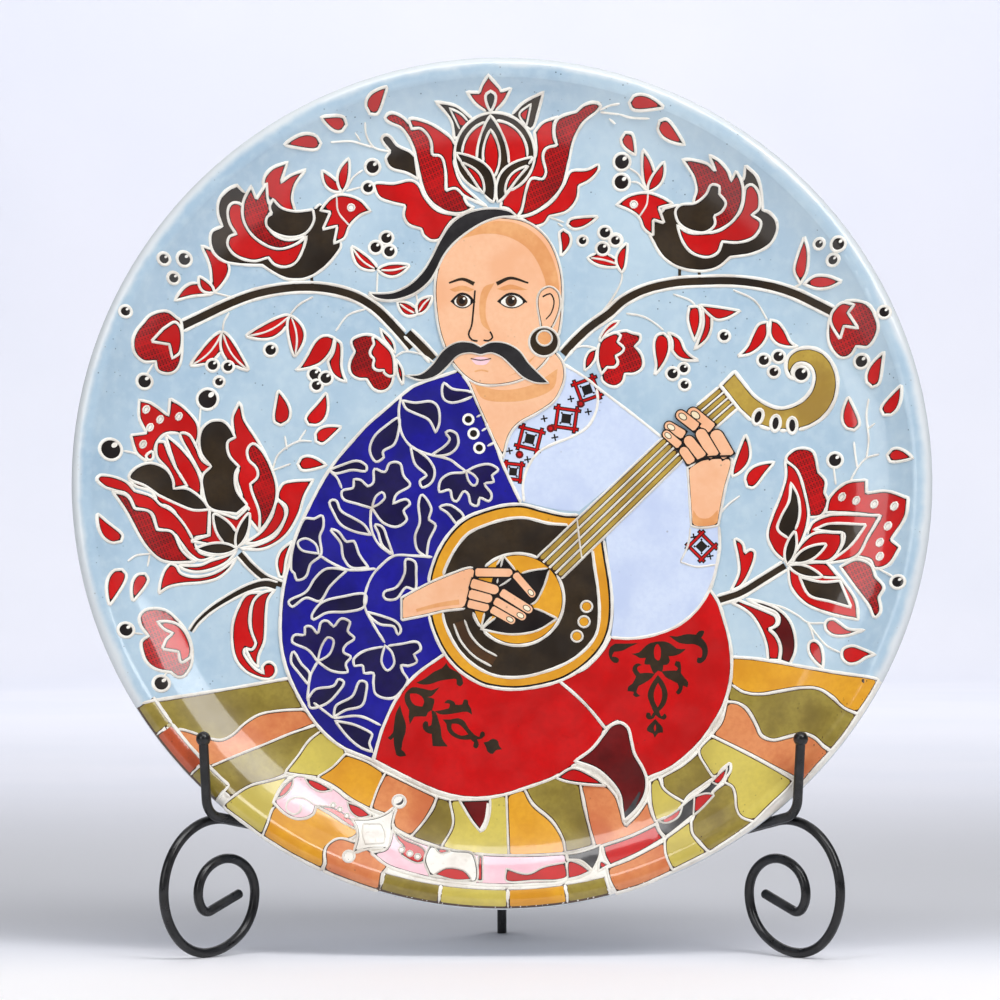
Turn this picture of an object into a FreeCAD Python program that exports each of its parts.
"""Hand painted ceramic plate on a folding wire easel, as a parametric FreeCAD document.

Row frame: millimetres, +Z up, the plate faces -Y, origin on the table under the middle of the whole object.
The easel is two side frames of bent wire that swing like a book on one upright post behind the plate.
Each side frame is drawn in its own plane: "reach" runs from the post towards the frame's toe, "height" runs
up from the table, and the frame's Placement turns that plane about the post.
"""

import math
import os

import FreeCAD, Part
import Sketcher
from FreeCAD import Placement, Rotation, Vector

doc = FreeCAD.newDocument("plate_on_easel")

# ---------------------------------------------------------------- driving dimensions, in mm and degrees
DIMENSIONS = {
    # plate, measured from the middle of its painted face: radius outwards, depth along the plate's axis
    "plate_radius": 200.0,
    "bend_radius_pos": 171.0,   # where the flat and the wall would meet without the sweep between them
    "crest_radius": 192.0,
    "crest_depth": 17.6,
    "wall_sweep": 66.0,
    "crest_round": 7.0,
    "lip_round": 4.8,
    "lip_under_depth": 10.5,
    "under_round": 3.5,
    "clay_thickness": 9.0,
    "back_bend_radius_pos": 176.0,
    "back_sweep": 60.0,
    "foot_outer_radius": 115.0,
    "foot_inner_radius": 105.0,
    "foot_depth": 17.5,
    "foot_round": 1.8,
    "cord_hole_radius": 2.0,
    "cord_hole_angle": 9.0,     # each hole's angle from the top of the foot ring
    "cord_hole_lift": 0.25,     # towards the clay, from the middle of the ring's height
    # where the plate stands
    "plate_lean": 8.0,
    "plate_centre_height": 218.7,
    "plate_forward": 93.0,      # the painted face's middle, in front of the post
    # easel
    "wire_radius": 2.25,
    "open_angle": 44.3,         # each side frame, away from straight ahead
    "post_to_origin": 69.96,     # the post stands this far behind the origin
    "frame_offset": 2.6,        # a side frame's plane passes this far beside the post's axis
    "post_height": 342.0,
    "knuckle_bore": 2.33,
    "knuckle_radius": 4.0,
    "knuckle_height": 8.6,
    "collar_radius": 5.2,
    "collar_height": 4.0,
    "stop_disc_radius": 9.5,
    "stop_gap": 0.06,
    "stop_thickness": 2.0,
    "stop_leg": 24.0,
    "stop_top": 39.0,
    "ball_radius": 3.4,
    "finial_radius": 4.4,
    "ball_socket": 3.0,         # how far a wire's end goes into its ball
    # hook rod: ball, prong, bend, arm
    "ball_reach": 193.4,
    "ball_height": 101.0,
    "prong_reach": 191.0,
    "hook_bend": 9.0,
    "seat_reach": 187.0,
    "seat_height": 65.3,
    "arm_end_reach": 4.6,
    "left_arm_end": 30.0,
    "right_arm_end": 21.0,
    # foot scroll: where it starts beside the arm, and where it leaves it
    "weld_reach": 148.0,
    "leave_reach": 174.0,
    "weld_gap": 0.3,
    "weld_bead_reach": 158.0,   # the middle of the bead in the groove between arm and scroll
    "tip_round": 1.6,
    # back rest rod
    "rest_foot_reach": 118.0,
    "rest_foot_gap": 1.0,
    "rest_touch_reach": 86.9,
    "rest_touch_height": 306.0,
    "rest_bend": 22.0,
    "left_rest_end": 330.0,
    "right_rest_end": 321.0,
}

# The foot scroll's stations after it leaves the arm: reach, height and heading in degrees, to the free tip.
SCROLL = [
    ("toe", 213.4, 31.0, -90.0),
    ("sole", 187.0, 2.25, -180.0),
    ("heel", 156.8, 28.4, -270.0),
    ("inner_crown", 174.4, 45.0, -360.0),
    ("inner_toe", 192.2, 29.4, -450.0),
    ("inner_sole", 184.6, 21.4, -561.0),
]
SCROLL_TIP = 20.4  # length of the straight tip after the last station

# Half-sizes of a weld bead before the pieces that it joins are cut out of it.
TACK_RADIUS = 2.4          # the round tack in the groove between an arm and its scroll
REST_BEAD = (2.2, 3.4, 2.7)
KNUCKLE_BEAD = (3.0, 2.5, 2.5)
KNUCKLE_BEAD_INSET = 0.5   # how far a knuckle's bead sits inwards of the wire's end
KNUCKLE_BEAD_SIDE = 0.8    # its place across the frame, as a share of frame_offset
SMALLEST_BEAD = 1.0        # mm3: a sliver left by the cuts is dropped

sheet = doc.addObject("Spreadsheet::Sheet", "Params")
row = 0


def put(alias, value):
    """One driving dimension in the sheet, as text, with its alias."""
    global row
    row += 1
    sheet.set(f"A{row}", alias)
    sheet.set(f"B{row}", str(value))
    sheet.setAlias(f"B{row}", alias)


for alias, value in DIMENSIONS.items():
    put(alias, value)
for station, reach, height, _ in SCROLL:
    put(f"scroll_{station}_reach", reach)
    put(f"scroll_{station}_height", height)
doc.recompute()


def dim(alias):
    return float(sheet.get(alias))


# ---------------------------------------------------------------- sketches and paths
def sketch_in(body, name, role, offset=None):
    """A sketch on one of the body's own origin planes."""
    plane = next(f for f in body.Origin.OriginFeatures if f.Role == role)
    sketch = body.newObject("Sketcher::SketchObject", name)
    sketch.AttachmentSupport = [(plane, "")]
    sketch.MapMode = "FlatFace"
    if offset is not None:
        sketch.AttachmentOffset = offset
    return sketch


def bind(sketch, kind, where, value, expression):
    """A dimension of the sketch, held by an expression on the sheet."""
    index = sketch.addConstraint(Sketcher.Constraint(kind, *where, value))
    sketch.setExpression(f"Constraints[{index}]", expression)


def circle(sketch, radius_alias):
    number = sketch.addGeometry(Part.Circle(Vector(0, 0, 0), Vector(0, 0, 1), dim(radius_alias)), False)
    sketch.addConstraint(Sketcher.Constraint("Coincident", number, 3, -1, 1))
    bind(sketch, "Radius", (number,), dim(radius_alias), f"Params.{radius_alias}")


def outline(sketch, corners):
    """A closed polygon. A corner is (x, y, x expression, y expression)."""
    count = len(corners)
    for i in range(count):
        a, b = corners[i], corners[(i + 1) % count]
        sketch.addGeometry(Part.LineSegment(Vector(a[0], a[1], 0), Vector(b[0], b[1], 0)), False)
    for i in range(count):
        sketch.addConstraint(Sketcher.Constraint("Coincident", i, 2, (i + 1) % count, 1))
    for i, (x, y, x_says, y_says) in enumerate(corners):
        bind(sketch, "DistanceX", (i, 1), x, x_says)
        bind(sketch, "DistanceY", (i, 1), y, y_says)


def arc_from(start, heading, end):
    """The arc that leaves start along heading and ends at end, or a line where they agree."""
    chord = end - start
    side = Vector(-heading.y, heading.x, 0)
    across = chord.dot(side)
    if abs(across) < 1e-6:
        return Part.LineSegment(start, end)
    centre = start + side * (chord.dot(chord) / (2 * across))
    half = math.atan2(across, chord.dot(heading))
    middle = centre + Rotation(Vector(0, 0, 1), math.degrees(half)).multVec(start - centre)
    return Part.Arc(start, middle, end)


def biarc(start, heading, end, end_heading):
    """Two tangent arcs from one station to the next."""
    gap, both = end - start, heading + end_heading
    turn = 2 * (1 - heading.dot(end_heading))
    if turn < 1e-9:
        return [Part.LineSegment(start, end)]
    reach = (-gap.dot(both) + math.sqrt(gap.dot(both) ** 2 + turn * gap.dot(gap))) / turn
    joint = (start + end + (heading - end_heading) * reach) * 0.5
    first = arc_from(start, heading, joint)
    back = arc_from(end, end_heading * -1, joint)
    second = Part.Arc(joint, back.value((back.FirstParameter + back.LastParameter) / 2), end)
    return [first, second]


def rounded(points, radii):
    """Straight runs joined by tangent arcs, one radius for each inner point."""
    edges, here = [], points[0]
    for corner, after, radius in zip(points[1:-1], points[2:], radii):
        before, ahead = (here - corner).normalize(), (after - corner).normalize()
        half = before.getAngle(ahead) / 2
        set_back = radius / math.tan(half)
        enter, leave = corner + before * set_back, corner + ahead * set_back
        middle_line = (before + ahead).normalize()
        middle = corner + middle_line * (radius / math.sin(half) - radius)
        edges += [Part.LineSegment(here, enter), Part.Arc(enter, middle, leave)]
        here = leave
    return edges + [Part.LineSegment(here, points[-1])]


def end_at(sketch, number, point):
    """Which end of the sketch's edge lies at point, 1 or 2: a clockwise arc has its ends swapped."""
    return 1 if sketch.getPoint(number, 1).distanceToPoint(point) < 1e-4 else 2


def wire(name, edges, offset, placement, bound=()):
    """A bent wire: a circle swept along edges drawn in the side frame's plane, offset beside the post.

    bound holds (kind, edge number, value, expression): an arc's Radius, or where an edge ends.
    """
    body = doc.addObject("PartDesign::Body", name)
    body.Label = name
    spine = sketch_in(body, name + "_spine", "XZ_Plane", Placement(Vector(0, 0, -offset), Rotation()))
    for edge in edges:
        spine.addGeometry(edge, False)
    ends = [edge.value(edge.LastParameter) for edge in edges]
    for i, point in enumerate(ends[:-1]):
        link = (i, end_at(spine, i, point), i + 1, end_at(spine, i + 1, point))
        spine.addConstraint(Sketcher.Constraint("Coincident", *link))
    for kind, number, value, expression in bound:
        where = (number,) if kind == "Radius" else (number, end_at(spine, number, ends[number]))
        bind(spine, kind, where, value, expression)
    first = edges[0]
    start = first.value(first.FirstParameter)
    along = first.value(first.FirstParameter + 1e-4) - start
    turn = Rotation(Vector(0, 0, 1), Vector(along.x, 0, along.y))
    section = sketch_in(
        body, name + "_section", "XY_Plane", Placement(Vector(start.x, offset, start.y), turn)
    )
    circle(section, "wire_radius")
    doc.recompute()
    pipe = body.newObject("PartDesign::AdditivePipe", name + "_pipe")
    pipe.Profile = section
    pipe.Spine = (spine, [f"Edge{i + 1}" for i in range(len(edges))])
    pipe.Mode = "Standard"
    doc.recompute()
    body.Placement = placement
    return body


def round_tip(body, tip):
    """Rounds the free end of a wire, which lies at tip in the body's own frame."""
    pipe = body.Tip
    radius = dim("wire_radius") + 0.01
    found = [
        f"Edge{number}"
        for number, edge in enumerate(pipe.Shape.Edges, 1)
        if all(vertex.Point.distanceToPoint(tip) < radius for vertex in edge.Vertexes)
    ]
    fillet = body.newObject("PartDesign::Fillet", body.Name + "_tip")
    fillet.Base = (pipe, found)
    fillet.setExpression("Radius", "Params.tip_round")
    doc.recompute()


def ring(name, outer_alias, bore_alias, height_alias, base, placement):
    """A short tube round the post."""
    body = doc.addObject("PartDesign::Body", name)
    body.Label = name
    sketch = sketch_in(body, name + "_section", "XY_Plane", Placement(Vector(0, 0, base), Rotation()))
    circle(sketch, outer_alias)
    circle(sketch, bore_alias)
    pad = body.newObject("PartDesign::Pad", name + "_pad")
    pad.Profile = sketch
    pad.setExpression("Length", f"Params.{height_alias}")
    doc.recompute()
    body.Placement = placement
    return body


def ball(name, radius_alias, place, heading):
    """A ball with a socket that takes the end of a wire. heading points from the wire into the ball."""
    sphere = doc.addObject("Part::Sphere", name + "_sphere")
    sphere.setExpression("Radius", f"Params.{radius_alias}")
    sphere.Placement = Placement(place, Rotation())
    hole = doc.addObject("Part::Cylinder", name + "_socket")
    hole.setExpression("Radius", "Params.wire_radius")
    hole.setExpression("Height", f"Params.{radius_alias} + 1")
    socket_end = place - heading * (dim(radius_alias) - dim("ball_socket"))
    turn = Rotation(Vector(0, 0, 1), heading * -1)
    hole.Placement = Placement(socket_end, turn)
    cut = doc.addObject("Part::Cut", name)
    cut.Base, cut.Tool = sphere, hole
    cut.Label = name
    return cut


# ---------------------------------------------------------------- the plate
def plate():
    """The clay body: a revolved section with its sweeps and roundings, and two cord holes."""
    body = doc.addObject("PartDesign::Body", "plate_body")
    body.Label = "plate_body"
    sketch = sketch_in(body, "plate_section", "XZ_Plane")
    clay, foot = dim("clay_thickness"), dim("foot_depth")
    corners = [
        (0.0, 0.0, "0", "0"),
        (dim("bend_radius_pos"), 0.0, "Params.bend_radius_pos", "0"),
        (dim("crest_radius"), dim("crest_depth"), "Params.crest_radius", "Params.crest_depth"),
        (dim("plate_radius"), dim("crest_depth"), "Params.plate_radius", "Params.crest_depth"),
        (dim("plate_radius"), dim("lip_under_depth"), "Params.plate_radius", "Params.lip_under_depth"),
        (dim("back_bend_radius_pos"), -clay, "Params.back_bend_radius_pos", "-Params.clay_thickness"),
        (dim("foot_outer_radius"), -clay, "Params.foot_outer_radius", "-Params.clay_thickness"),
        (dim("foot_outer_radius"), -foot, "Params.foot_outer_radius", "-Params.foot_depth"),
        (dim("foot_inner_radius"), -foot, "Params.foot_inner_radius", "-Params.foot_depth"),
        (dim("foot_inner_radius"), -clay, "Params.foot_inner_radius", "-Params.clay_thickness"),
        (0.0, -clay, "0", "-Params.clay_thickness"),
    ]
    outline(sketch, corners)
    doc.recompute()
    turned = body.newObject("PartDesign::Revolution", "plate_turned")
    turned.Profile = sketch
    turned.ReferenceAxis = (sketch, ["V_Axis"])
    turned.Angle = 360.0
    doc.recompute()

    def rounding(name, radius_alias, places):
        """A fillet on the circular edges that lie at the given (radius, depth) places."""
        base = body.Tip
        found = []
        for number, edge in enumerate(base.Shape.Edges, 1):
            point = edge.Vertexes[0].Point
            at = (math.hypot(point.x, point.y), point.z)
            if any(math.dist(at, place) < 0.05 for place in places) and edge.Length > 1:
                found.append(f"Edge{number}")
        fillet = body.newObject("PartDesign::Fillet", name)
        fillet.Base = (base, found)
        fillet.setExpression("Radius", f"Params.{radius_alias}")
        doc.recompute()

    rounding("front_sweep", "wall_sweep", [(dim("bend_radius_pos"), 0.0)])
    rounding("back_sweep", "back_sweep", [(dim("back_bend_radius_pos"), -clay)])
    rounding("crest", "crest_round", [(dim("crest_radius"), dim("crest_depth"))])
    rounding("lip", "lip_round", [(dim("plate_radius"), dim("crest_depth"))])
    rounding("under", "under_round", [(dim("plate_radius"), dim("lip_under_depth"))])
    foot_edges = [(dim("foot_outer_radius"), -foot), (dim("foot_inner_radius"), -foot)]
    rounding("foot_edges", "foot_round", foot_edges)

    hole_depth = -(clay + foot) / 2 + dim("cord_hole_lift")
    for side in (-1, 1):
        angle = side * dim("cord_hole_angle")
        sketch = sketch_in(
            body,
            f"cord_hole_{'left' if side < 0 else 'right'}",
            "XY_Plane",
            Placement(
                Vector(0, 0, hole_depth),
                Rotation(Vector(0, 0, 1), -angle) * Rotation(Vector(1, 0, 0), -90),
            ),
        )
        circle(sketch, "cord_hole_radius")
        doc.recompute()
        pocket = body.newObject("PartDesign::Pocket", sketch.Name + "_pocket")
        pocket.Profile = sketch
        pocket.Reversed = True
        pocket.setExpression("Length", "Params.foot_outer_radius + 2")
        before = body.Shape.Volume
        doc.recompute()
        print(sketch.Name, "removes", round(before - body.Shape.Volume, 2), "mm3")
    lean = Rotation(Vector(1, 0, 0), 90 - dim("plate_lean"))
    place = Vector(0, dim("post_to_origin") - dim("plate_forward"), dim("plate_centre_height"))
    body.Placement = Placement(place, lean)
    return body


# ---------------------------------------------------------------- the easel
POST = Vector(0, dim("post_to_origin"), 0)
AT_POST = Placement(POST, Rotation())


def post_parts():
    """The upright post with its finial, the collars that keep the hinge knuckles, and the opening stop."""
    post = doc.addObject("Part::Cylinder", "rear_post")
    post.Label = "rear_post"
    post.setExpression("Radius", "Params.wire_radius")
    post.setExpression("Height", "Params.post_height")
    post.Placement = AT_POST
    top = POST + Vector(0, 0, dim("post_height") + dim("finial_radius") - dim("ball_socket"))
    finial = ball("post_finial", "finial_radius", top, Vector(0, 0, 1))

    lowest = dim("right_arm_end") - dim("knuckle_height") / 2
    stop_base = lowest - dim("collar_height") - dim("stop_gap")
    disc = ring("stop_disc", "stop_disc_radius", "wire_radius", "collar_height", stop_base, AT_POST)
    highest = dim("left_rest_end") + dim("knuckle_height") / 2 + dim("stop_gap")
    collar = ring("upper_collar", "collar_radius", "wire_radius", "collar_height", highest, AT_POST)

    bracket = doc.addObject("PartDesign::Body", "stop_bracket")
    bracket.Label = "stop_bracket"
    base = stop_base + dim("collar_height")
    sketch = sketch_in(bracket, "stop_section", "XY_Plane", Placement(Vector(0, 0, base), Rotation()))
    inside = dim("frame_offset") + dim("wire_radius") + dim("stop_gap")
    leg, thick, half_turn = dim("stop_leg"), dim("stop_thickness"), math.radians(dim("open_angle"))
    along = Vector(math.sin(half_turn), -math.cos(half_turn), 0)
    out = Vector(math.cos(half_turn), math.sin(half_turn), 0)
    apex_in, apex_out = inside / math.sin(half_turn), (inside + thick) / math.sin(half_turn)
    right = [Vector(0, apex_out, 0), out * (inside + thick) + along * leg, out * inside + along * leg]
    left = [Vector(-p.x, p.y, 0) for p in reversed(right[1:])]
    corners = [right[0], right[1], right[2], Vector(0, apex_in, 0), left[0], left[1]]
    for a, b in zip(corners, corners[1:] + corners[:1]):
        sketch.addGeometry(Part.LineSegment(a, b), False)
    for i in range(len(corners)):
        sketch.addConstraint(Sketcher.Constraint("Coincident", i, 2, (i + 1) % len(corners), 1))
    pad = bracket.newObject("PartDesign::Pad", "stop_pad")
    pad.Profile = sketch
    pad.Length = dim("stop_top") - base
    doc.recompute()
    bracket.Placement = AT_POST
    return [post, finial, disc, collar, bracket]


def hook_path(arm_end):
    """Ball end, prong, bend and the arm that runs back and down to the post."""
    ball_at = Vector(dim("ball_reach"), dim("ball_height"), 0)
    end, _ = arm_line(arm_end)
    corner = arm_point(arm_end, dim("prong_reach"))
    prong = (ball_at - corner).normalize()
    top = ball_at - prong * (dim("ball_radius") - dim("ball_socket"))
    return rounded([top, corner, end], [dim("hook_bend")]), prong


def arm_line(arm_end):
    """The arm's end at the post and its direction out to the seat."""
    end = Vector(dim("arm_end_reach"), arm_end, 0)
    seat = Vector(dim("seat_reach"), dim("seat_height"), 0)
    return end, (seat - end).normalize()


def arm_point(arm_end, reach):
    """The point of the arm's middle line at the given reach."""
    end, arm = arm_line(arm_end)
    return end + arm * ((reach - end.x) / arm.x)


def scroll_path(arm_end):
    """The foot scroll: a run level with the arm, tangent arcs round the stations, the straight tip."""
    _, arm = arm_line(arm_end)
    weld, leave = arm_point(arm_end, dim("weld_reach")), arm_point(arm_end, dim("leave_reach"))
    edges = [Part.LineSegment(weld, leave)]
    here, heading = leave, arm
    for _, reach, height, degrees in SCROLL:
        station = Vector(reach, height, 0)
        turned = Vector(math.cos(math.radians(degrees)), math.sin(math.radians(degrees)), 0)
        edges += biarc(here, heading, station, turned)
        here, heading = station, turned
    return edges + [Part.LineSegment(here, here + heading * SCROLL_TIP)]


def rest_path(arm_end, rest_end):
    """The back rest: up from the arm, leaning back with the plate, then over to the post."""
    touch = Vector(dim("rest_touch_reach"), dim("rest_touch_height"), 0)
    foot = arm_point(arm_end, dim("rest_foot_reach"))
    up = (touch - foot).normalize()
    foot = foot + up * (dim("wire_radius") + dim("rest_foot_gap"))
    corner = touch + up * ((rest_end - touch.y) / up.y)
    return rounded([foot, corner, Vector(dim("arm_end_reach"), rest_end, 0)], [dim("rest_bend")]), foot


def bead(name, place, size, tools):
    """A weld bead: a flattened ball that fills the corner between the pieces it joins."""
    blob = doc.addObject("Part::Ellipsoid", name + "_blob")
    blob.Radius1, blob.Radius2, blob.Radius3 = size
    blob.Placement = place
    base = blob
    for number, tool in enumerate(tools):
        cut = doc.addObject("Part::Cut", f"{name}_cut{number}")
        cut.Base, cut.Tool = base, tool
        base = cut
    return base


def tack(name, place, tools):
    """A round tack of weld in the groove between two wires, its poles turned into the wires."""
    blob = doc.addObject("Part::Sphere", name + "_blob")
    blob.Radius = TACK_RADIUS
    blob.Placement = place.multiply(Placement(Vector(0, 0, 0), Rotation(Vector(1, 0, 0), 90)))
    base = blob
    for number, tool in enumerate(tools):
        cut = doc.addObject("Part::Cut", f"{name}_cut{number}")
        cut.Base, cut.Tool = base, tool
        base = cut
    return base


def side_frame(side, arm_end, rest_end):
    """One side frame: side is -1 on the left as the plate is faced, and 1 on the right."""
    word = "left" if side < 0 else "right"
    offset = side * dim("frame_offset")
    angle = -90 + side * dim("open_angle")
    placement = Placement(POST, Rotation(Vector(0, 0, 1), angle))

    edges, prong = hook_path(arm_end)
    last = len(edges) - 1
    bound = [
        ("Radius", 1, dim("hook_bend"), "Params.hook_bend"),
        ("DistanceX", last, dim("arm_end_reach"), "Params.arm_end_reach"),
        ("DistanceY", last, arm_end, f"Params.{word}_arm_end"),
    ]
    hook = wire(f"{word}_hook_rod", edges, offset, placement, bound)
    local_ball = Vector(dim("ball_reach"), offset, dim("ball_height"))
    heading = placement.Rotation.multVec(Vector(prong.x, 0, prong.y))
    hook_ball = ball(f"{word}_hook_ball", "ball_radius", placement.multVec(local_ball), heading)

    stations = [
        ("DistanceX" if axis == "reach" else "DistanceY", 2 * i + 2, dim(f"scroll_{s[0]}_{axis}"),
         f"Params.scroll_{s[0]}_{axis}")
        for i, s in enumerate(SCROLL)
        for axis in ("reach", "height")
    ]
    path = scroll_path(arm_end)
    beside = offset + side * (2 * dim("wire_radius") + dim("weld_gap"))
    scroll = wire(f"{word}_foot_scroll", path, beside, placement, stations)
    tip = path[-1].value(path[-1].LastParameter)
    round_tip(scroll, Vector(tip.x, beside, tip.y))

    edges, foot = rest_path(arm_end, rest_end)
    bound = [
        ("Radius", 1, dim("rest_bend"), "Params.rest_bend"),
        ("DistanceX", last, dim("arm_end_reach"), "Params.arm_end_reach"),
        ("DistanceY", last, rest_end, f"Params.{word}_rest_end"),
    ]
    rest = wire(f"{word}_back_rest", edges, offset, placement, bound)

    half = dim("knuckle_height") / 2
    sizes = ("knuckle_radius", "knuckle_bore", "knuckle_height")
    lower = ring(f"{word}_lower_knuckle", *sizes, arm_end - half, placement)
    upper = ring(f"{word}_upper_knuckle", *sizes, rest_end - half, placement)

    end, arm = arm_line(arm_end)
    slope = math.degrees(math.atan2(arm.y, arm.x))

    def at(point, across=offset, tilt=0.0):
        # turned half round about its own axis, so the blob's seam is cut away with the knuckle
        turn = Rotation(Vector(0, 1, 0), -tilt).multiply(Rotation(Vector(0, 0, 1), 180))
        return placement.multiply(Placement(Vector(point.x, across, point.y), turn))

    groove = arm_point(arm_end, dim("weld_bead_reach"))
    rest_end_point = Vector(end.x, rest_end, 0)
    inner = Vector(-KNUCKLE_BEAD_INSET, 0, 0)
    across = offset * KNUCKLE_BEAD_SIDE
    beads = [
        tack(f"{word}_bead_scroll", at(groove, (offset + beside) / 2, slope), [hook, scroll]),
        bead(f"{word}_bead_rest", at(foot, tilt=slope), REST_BEAD, [hook, rest]),
        bead(f"{word}_bead_lower", at(end + inner, across), KNUCKLE_BEAD, [hook, lower]),
        bead(f"{word}_bead_upper", at(rest_end_point + inner, across), KNUCKLE_BEAD, [rest, upper]),
    ]
    doc.recompute()
    welds = doc.addObject("Part::Feature", f"{word}_weld_beads")
    welds.Label = f"{word}_weld_beads"
    post_room = Part.makeCylinder(dim("knuckle_bore"), dim("post_height"), POST)
    solids = []
    for b in beads:
        solids += b.Shape.cut(post_room).Solids
    welds.Shape = Part.makeCompound([s for s in solids if s.Volume > SMALLEST_BEAD])
    return [hook, hook_ball, scroll, rest, lower, upper, welds]


# ---------------------------------------------------------------- build, check, write
pieces = [plate()]
pieces += post_parts()
pieces += side_frame(-1, dim("left_arm_end"), dim("left_rest_end"))
pieces += side_frame(1, dim("right_arm_end"), dim("right_rest_end"))
doc.recompute()

for thing in doc.Objects:
    bad = [s for s in thing.State if s in ("Invalid", "Error")]
    if bad:
        raise RuntimeError(f"{thing.Label} is {bad}")
os.makedirs("parts", exist_ok=True)
whole = FreeCAD.BoundBox()
for piece in pieces:
    shape = piece.Shape
    if shape.isNull() or not shape.isValid() or not shape.Solids:
        raise RuntimeError(f"{piece.Label} has no valid solid")
    shape.exportStep(f"parts/{piece.Label}.step")
    whole.add(shape.optimalBoundingBox(True, False))
    print(f"{piece.Label:22s} {len(shape.Solids)} solid(s) {shape.Volume:12.1f} mm3")
print("box", [round(v, 2) for v in (whole.XMin, whole.XMax, whole.YMin, whole.YMax, whole.ZMin, whole.ZMax)])
